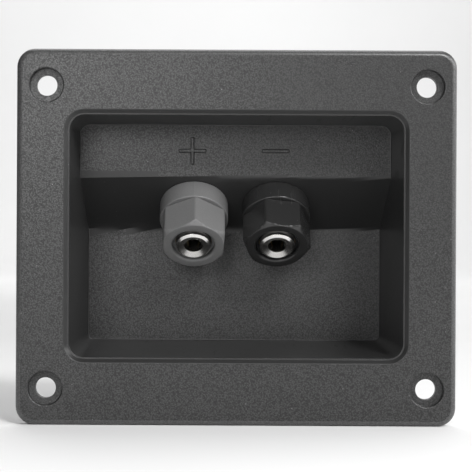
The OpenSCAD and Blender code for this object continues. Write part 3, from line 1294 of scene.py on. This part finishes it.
    def nut_insert(self) -> bpy.types.Object:
        """Makes the threaded metal bush inside the thumb nut."""
        low, bore = self.nut_base + self.gap, self.thread_diameter / 2 + 0.03
        high, outer = low + self.insert_length, self.insert_diameter / 2
        groove = thread(low, high, self.pitch, -0.3, bore - 0.1, bore + 0.1)
        return self.turned("nut_insert", [(outer, low, 0.15), (outer, high, 0.15), (bore, high, 0.0),
                                          (bore, low, 0.0)], 96, groove, (low, high, self.pitch / 8))

    def thumb_nut(self) -> bpy.types.Object:
        """Makes the hexagonal plastic thumb nut, with its turned nose and rounded mouth."""
        mouth, pocket = self.mouth_diameter / 2, self.insert_diameter / 2 + 0.05
        outer, tip = self.collar_diameter / 2, self.nut_tip
        web, web_end = self.thread_diameter / 2 + 0.12, self.pocket_end + self.mouth_web
        corners = [(web, self.pocket_end, 0.0), (web, web_end, 0.05), (mouth, web_end, 0.1),
                   (mouth, tip, self.mouth_lip), (outer - self.nose_in, tip - self.nose_fall, 0.4),
                   (outer, tip - self.nose_length, 0.35), (outer, self.nut_base, 0.2),
                   (pocket, self.nut_base, 0.1), (pocket, self.pocket_end, 0.0)]
        return self.turned("thumb_nut", corners, 360, hexagon(self.nut_flats, self.nut_turn, 0.12, 0.05),
                           (self.nut_base, tip, 0.5))

    def rear_bush(self) -> bpy.types.Object:
        """Makes the insulating bush behind the ledge, with the peg that fills the keyway."""
        bore, outer = self.stud_radius + self.gap, self.bush_diameter / 2
        made = self.turned("rear_bush", [(bore, self.bush_at, 0.1), (outer, self.bush_at, 0.3),
                                         (outer, -self.wall, 0.1), (bore, -self.wall, 0.1)], 128)
        inner, top = self.spigot_diameter / 2 + self.gap, -self.wall / 2 - self.gap
        half, low = self.key_half_width, -self.wall - 0.3
        corners = [(x, y, w) for w in (low, top) for x, y in (
            (-half, inner), (half, inner), (half, self.key_reach), (-half, self.key_reach))]
        faces = [(0, 1, 2, 3), (4, 5, 6, 7)] + [(n, (n + 1) % 4, (n + 1) % 4 + 4, n + 4) for n in range(4)]
        combine(made, make_object("peg", np.array(corners), faces), Joining.ADD)
        return made

    def flat_washer(self) -> bpy.types.Object:
        """Makes the stamped washer, more rounded on the side that the punch entered."""
        bore, outer = self.stud_radius + self.gap, self.washer_diameter / 2
        return self.turned("flat_washer", [(bore, self.washer_at, 0.08), (outer, self.washer_at, 0.12),
                                           (outer, self.bush_at, 0.3), (bore, self.bush_at, 0.15)], 128)

    def lock_washer(self) -> bpy.types.Object:
        """Makes the split spring washer, its ends a little out of line."""
        bore, outer = self.stud_radius + self.gap, self.lock_diameter / 2
        middle, spread = (self.lock_at + self.washer_at) / 2, 0.12
        half = self.lock_length / 2 - spread
        section = rounded_path([(bore, -half, 0.12), (outer, -half, 0.12), (outer, half, 0.12),
                                (bore, half, 0.12)])
        opening = 0.5 / bore
        angles = np.linspace(math.pi / 2 + opening, math.pi / 2 + math.tau - opening, 97)
        shift = np.linspace(-spread, spread, len(angles))
        rings = [np.stack([section[:, 0] * math.cos(a), section[:, 0] * math.sin(a),
                           section[:, 1] + middle + s], axis=-1) for a, s in zip(angles, shift)]
        return make_object(f"{self.side.value}_lock_washer_look", *capped(rings))

    def hex_nut(self, name: str, low: float) -> bpy.types.Object:
        """Makes a hexagonal metal nut with both faces chamfered.

        Args:
            name: The nut's name.
            low: Its rear face's station.

        Returns:
            The object.
        """
        high, bore = low + self.hex_length, self.stud_radius + 0.03
        outer, land, mouth = self.hex_flats / 2 + 0.9, self.hex_flats / 2 - 0.25, bore + 0.35
        chamfer = (outer - land) * math.tan(math.radians(30))
        groove = thread(low + 0.2, high - 0.2, self.pitch, -0.25, bore - 0.05, bore + 0.05)
        corners = [(bore, low + 0.35, 0.0), (mouth, low, 0.0), (land, low, 0.05),
                   (outer, low + chamfer, 0.0), (outer, high - chamfer, 0.0), (land, high, 0.05),
                   (mouth, high, 0.0), (bore, high - 0.35, 0.0)]
        return self.turned(name, corners, 192, chained(groove, hexagon(self.hex_flats, 0.0, 0.03, 0.02)),
                           (low, high, self.pitch / 8))

    def solder_tab(self) -> bpy.types.Object:
        """Makes the stamped solder tab with its stud hole and its eye."""
        out = -1 if self.side is Side.POSITIVE else 1
        disc, half = self.hex_flats / 2, self.tab_width / 2
        end, join = self.tab_reach - half, math.asin(half / disc)
        round_disc = [(disc * math.cos(a), disc * math.sin(a))
                      for a in np.linspace(join, math.tau - join, 72)]
        round_end = [(end + half * math.cos(a), half * math.sin(a))
                     for a in np.linspace(-math.pi / 2, math.pi / 2, 32)]
        outline = np.array(round_disc + round_end)
        levels = [np.column_stack([outline[:, 0] * out, outline[:, 1], np.full(len(outline), station)])
                  for station in (self.tab_at, self.clamp_at)]
        made = make_object(f"{self.side.value}_solder_tab_look", *capped(levels))
        punches = []
        for x, radius in ((0.0, self.stud_radius + self.gap), (out * end, self.tab_eye / 2)):
            points, own = pin(radius, self.tab_at - 1, self.clamp_at + 1)
            punches.append((points + np.array([x, 0.0, 0.0]), own))
        combine(made, make_object("punches", *merged(punches)), Joining.CUT)
        apply_modifier(made, "BEVEL", width=0.07 * MM, segments=2, limit_method="ANGLE",
                       angle_limit=math.radians(50))
        return made

    def build(self) -> dict[str, bpy.types.Object]:
        """Builds every piece of the post.

        Returns:
            Each piece by the name of the CAD node that it stands for.
        """
        made = {"base_collar": self.base_collar(), "post": self.post(), "nut_insert": self.nut_insert(),
                "thumb_nut": self.thumb_nut(), "rear_bush": self.rear_bush(),
                "flat_washer": self.flat_washer(), "lock_washer": self.lock_washer(),
                "clamp_nut": self.hex_nut("clamp_nut", self.clamp_at), "solder_tab": self.solder_tab(),
                "tab_nut": self.hex_nut("tab_nut", self.tab_nut_at)}
        for piece in made.values():
            piece.matrix_world = self.place
            smooth(piece)
        return {f"{self.side.value}_{name}": piece for name, piece in made.items()}


# ---- the studio ----


@dataclass(frozen=True)
class Softbox:
    """A soft rectangular light, placed by direction, that faces the cup or turns away from it."""

    name: str
    azimuth: float
    elevation: float
    distance: float
    width: float
    height: float
    power: float
    turned_away: float = 0.0

    def build(self, target: Vector) -> None:
        """Adds the light.

        Args:
            target: The point that the light faces, in metres.
        """
        lamp = bpy.data.lights.new(self.name, "AREA")
        lamp.shape = "RECTANGLE"
        lamp.size, lamp.size_y, lamp.energy = self.width, self.height, self.power
        turn, rise = math.radians(self.azimuth), math.radians(self.elevation)
        away = Vector((math.sin(turn) * math.cos(rise), -math.cos(turn) * math.cos(rise), math.sin(rise)))
        made = bpy.data.objects.new(self.name, lamp)
        made.location = target + away * self.distance
        facing = Matrix.Rotation(math.radians(self.turned_away), 3, "Z") @ away
        made.rotation_euler = facing.to_track_quat("Z", "Y").to_euler()
        made.visible_camera = False
        bpy.context.scene.collection.objects.link(made)


@dataclass
class Studio:
    """The pale floor with its sweep, the soft lights and the camera."""

    low: Vector
    high: Vector
    world_level: float = 0.03
    floor_tone: float = 0.83
    sweep_depth: float = 1.1
    sweep_radius: float = 0.5
    sweep_height: float = 2.4
    half_width: float = 3.0
    near_edge: float = 1.6
    camera_distance: float = 0.28
    camera_x: float = -0.0055
    camera_z: float = 0.0003
    focal_length: float = 98.3
    sensor: float = 36.0
    shift: float = 0.0527
    roll: float = 0.3

    softboxes: tuple[Softbox, ...] = (
        Softbox("right_key", 28.0, 40.0, 0.9, 0.2, 0.2, 5.3),
        Softbox("front_left", -16.0, 18.0, 0.38, 0.15, 0.15, 0.44),
        Softbox("right_card", 118.0, 8.0, 0.6, 0.6, 0.5, 1.6),
        Softbox("right_side", 68.0, 26.0, 0.5, 0.25, 0.25, 1.3),
        Softbox("rear_softbox", 180.0, 66.0, 0.8, 0.6, 0.6, 3.2),
        Softbox("backdrop_wash", 180.0, 40.0, 1.1, 1.2, 0.6, 8.0, 180.0),
    )

    def sweep(self) -> bpy.types.Object:
        """Makes the floor that curves up into a backdrop far behind the cup.

        Returns:
            The object.
        """
        ground = self.low.z
        bend = [(self.sweep_depth + self.sweep_radius * math.sin(a),
                 ground + self.sweep_radius * (1 - math.cos(a))) for a in np.linspace(0, math.pi / 2, 17)]
        line = [(-self.near_edge, ground), *bend, (bend[-1][0], ground + self.sweep_height)]
        points = np.array([(x, y, z) for y, z in line for x in (-self.half_width, self.half_width)]) / MM
        made = make_object("studio_sweep", points, grid_faces(len(line), 2, False, False))
        made.data.shade_smooth()
        return made

    def sweep_material(self) -> bpy.types.Material:
        """Makes the pale, matt surface of the sweep.

        Returns:
            The material.
        """
        made, tree, place = start_material("studio_white")
        mottle = add_node(tree, "ShaderNodeTexNoise", {"Vector": place, "Scale": 6.0})
        tone = scaled(tree, mottle.outputs["Fac"], (0.3, 0.7),
                      (self.floor_tone - 0.01, self.floor_tone + 0.01))
        fill(tree.nodes["Principled BSDF"], {
            "Specular IOR Level": 0.2, "Roughness": 0.8, "Base Color": grey(tree, tone)})
        return made

    def camera(self) -> None:
        """Places the camera square in front of the flange."""
        data = bpy.data.cameras.new("camera")
        data.lens, data.sensor_width, data.shift_x = self.focal_length, self.sensor, self.shift
        data.clip_start, data.clip_end = 0.01, 20.0
        made = bpy.data.objects.new("camera", data)
        made.location = (self.camera_x, self.low.y - self.camera_distance, self.camera_z)
        facing = Matrix.Rotation(math.pi / 2, 4, "X") @ Matrix.Rotation(math.radians(self.roll), 4, "Z")
        made.rotation_euler = facing.to_euler()
        bpy.context.scene.collection.objects.link(made)
        bpy.context.scene.camera = made

    def build(self) -> None:
        """Builds the sweep, the lights, the white surroundings and the camera."""
        sweep = self.sweep()
        sweep.data.materials.append(self.sweep_material())
        sweep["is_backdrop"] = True
        centre = (self.low + self.high) / 2
        for softbox in self.softboxes:
            softbox.build(centre)
        world = bpy.data.worlds.new("studio_air")
        world.use_nodes = True
        world.node_tree.nodes["Background"].inputs["Color"].default_value = (1.0, 1.0, 1.0, 1.0)
        world.node_tree.nodes["Background"].inputs["Strength"].default_value = self.world_level
        scene = bpy.context.scene
        scene.world = world
        scene.view_settings.view_transform = "Standard"
        self.camera()


# ---- assembly ----


class TerminalCup:
    """The whole object: the cup and its two binding posts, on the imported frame."""

    nut_turns = {Side.POSITIVE: 26.5, Side.NEGATIVE: -9.5}
    joint_station = 8.0

    def __init__(self, frame: dict[str, Any]) -> None:
        """Reads what the record says about bodies, finishes, joints and mounts.
        """
        self.record = frame["record"]
        self.joints = {joint["name"]: joint for joint in frame["joints"]}
        self.mounts = {mount["name"]: mount for mount in self.record["mounts"]}
        bodies = self.record["behaviour"]["bodies"]
        self.body_of = {node: body for body, nodes in bodies.items() for node in nodes}
        self.slot_of = {part["node"]: part["material_slot"] for part in self.record["subparts"]}
        self.paints = Paintbox()

    def post_place(self, side: Side) -> Matrix:
        """Finds a post's frame: its origin on the ledge, +Z out of the ledge and +Y up it.

        Args:
            side: Which post.

        Returns:
            The frame, in metres.
        """
        joint = self.joints[f"{side.value}_nut_turn"]
        out = Vector(joint["axis"]).normalized()
        across = Vector((1.0, 0.0, 0.0))
        origin = Vector(joint["pos_m"]) - out * self.joint_station * MM
        turn = Matrix((across, out.cross(across), out)).transposed()
        return Matrix.Translation(origin) @ turn.to_4x4()

    def make_posts(self) -> list[BindingPost]:
        """Sizes the two binding posts from the record's mounts.

        Returns:
            The posts.
        """
        posts = []
        for side in Side:
            socket = self.mounts[f"{side.value}_socket"]["dims"]
            wire = self.mounts[f"{side.value}_wire_hole"]["dims"]
            posts.append(BindingPost(side, self.post_place(side), socket["r_mm"], wire["r_mm"],
                                     self.nut_turns[side]))
        return posts

    def make_cup(self) -> Cup:
        """Sizes the cup from its CAD node and the record's screw pattern.

        Returns:
            The cup.
        """
        low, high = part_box("cup_body")
        holes = self.mounts["panel_screws"]["dims"]
        return Cup((high.x - low.x) / MM, (high.z - low.z) / MM, -low.y / MM, holes["spacing_x_mm"] / 2,
                   holes["spacing_y_mm"] / 2, holes["hole_r_mm"])

    def join(self, node: str, piece: bpy.types.Object) -> None:
        """Puts a piece in the place of its CAD node.

        Args:
            node: The node.
            piece: The piece that stands for it.
        """
        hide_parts(node)
        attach(piece, self.body_of[node])
        LOG.info("%s: %d faces on %s", piece.name, len(piece.data.polygons), self.body_of[node])

    def build(self) -> None:
        """Builds, dresses and joins every piece."""
        posts = self.make_posts()
        cup = self.make_cup()
        body = cup.build([post.hole() for post in posts])
        cup.dress(body, self.paints)
        self.join("cup_body", body)
        for post in posts:
            for node, piece in post.build().items():
                self.paints.paint(piece, self.slot_of[node])
                # The post's threads take a darker second finish: painted shade.
                if node.endswith("_post"):
                    self.paints.paint(piece, "thread_nickel")
                    post.shade_threads(piece)
                self.join(node, piece)


def main() -> None:
    """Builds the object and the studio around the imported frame."""
    logging.basicConfig(level=logging.INFO, format="%(name)s: %(message)s")
    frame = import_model()
    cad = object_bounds()
    TerminalCup(frame).build()
    Studio(*cad).build()


if __name__ == "__main__":
    main()
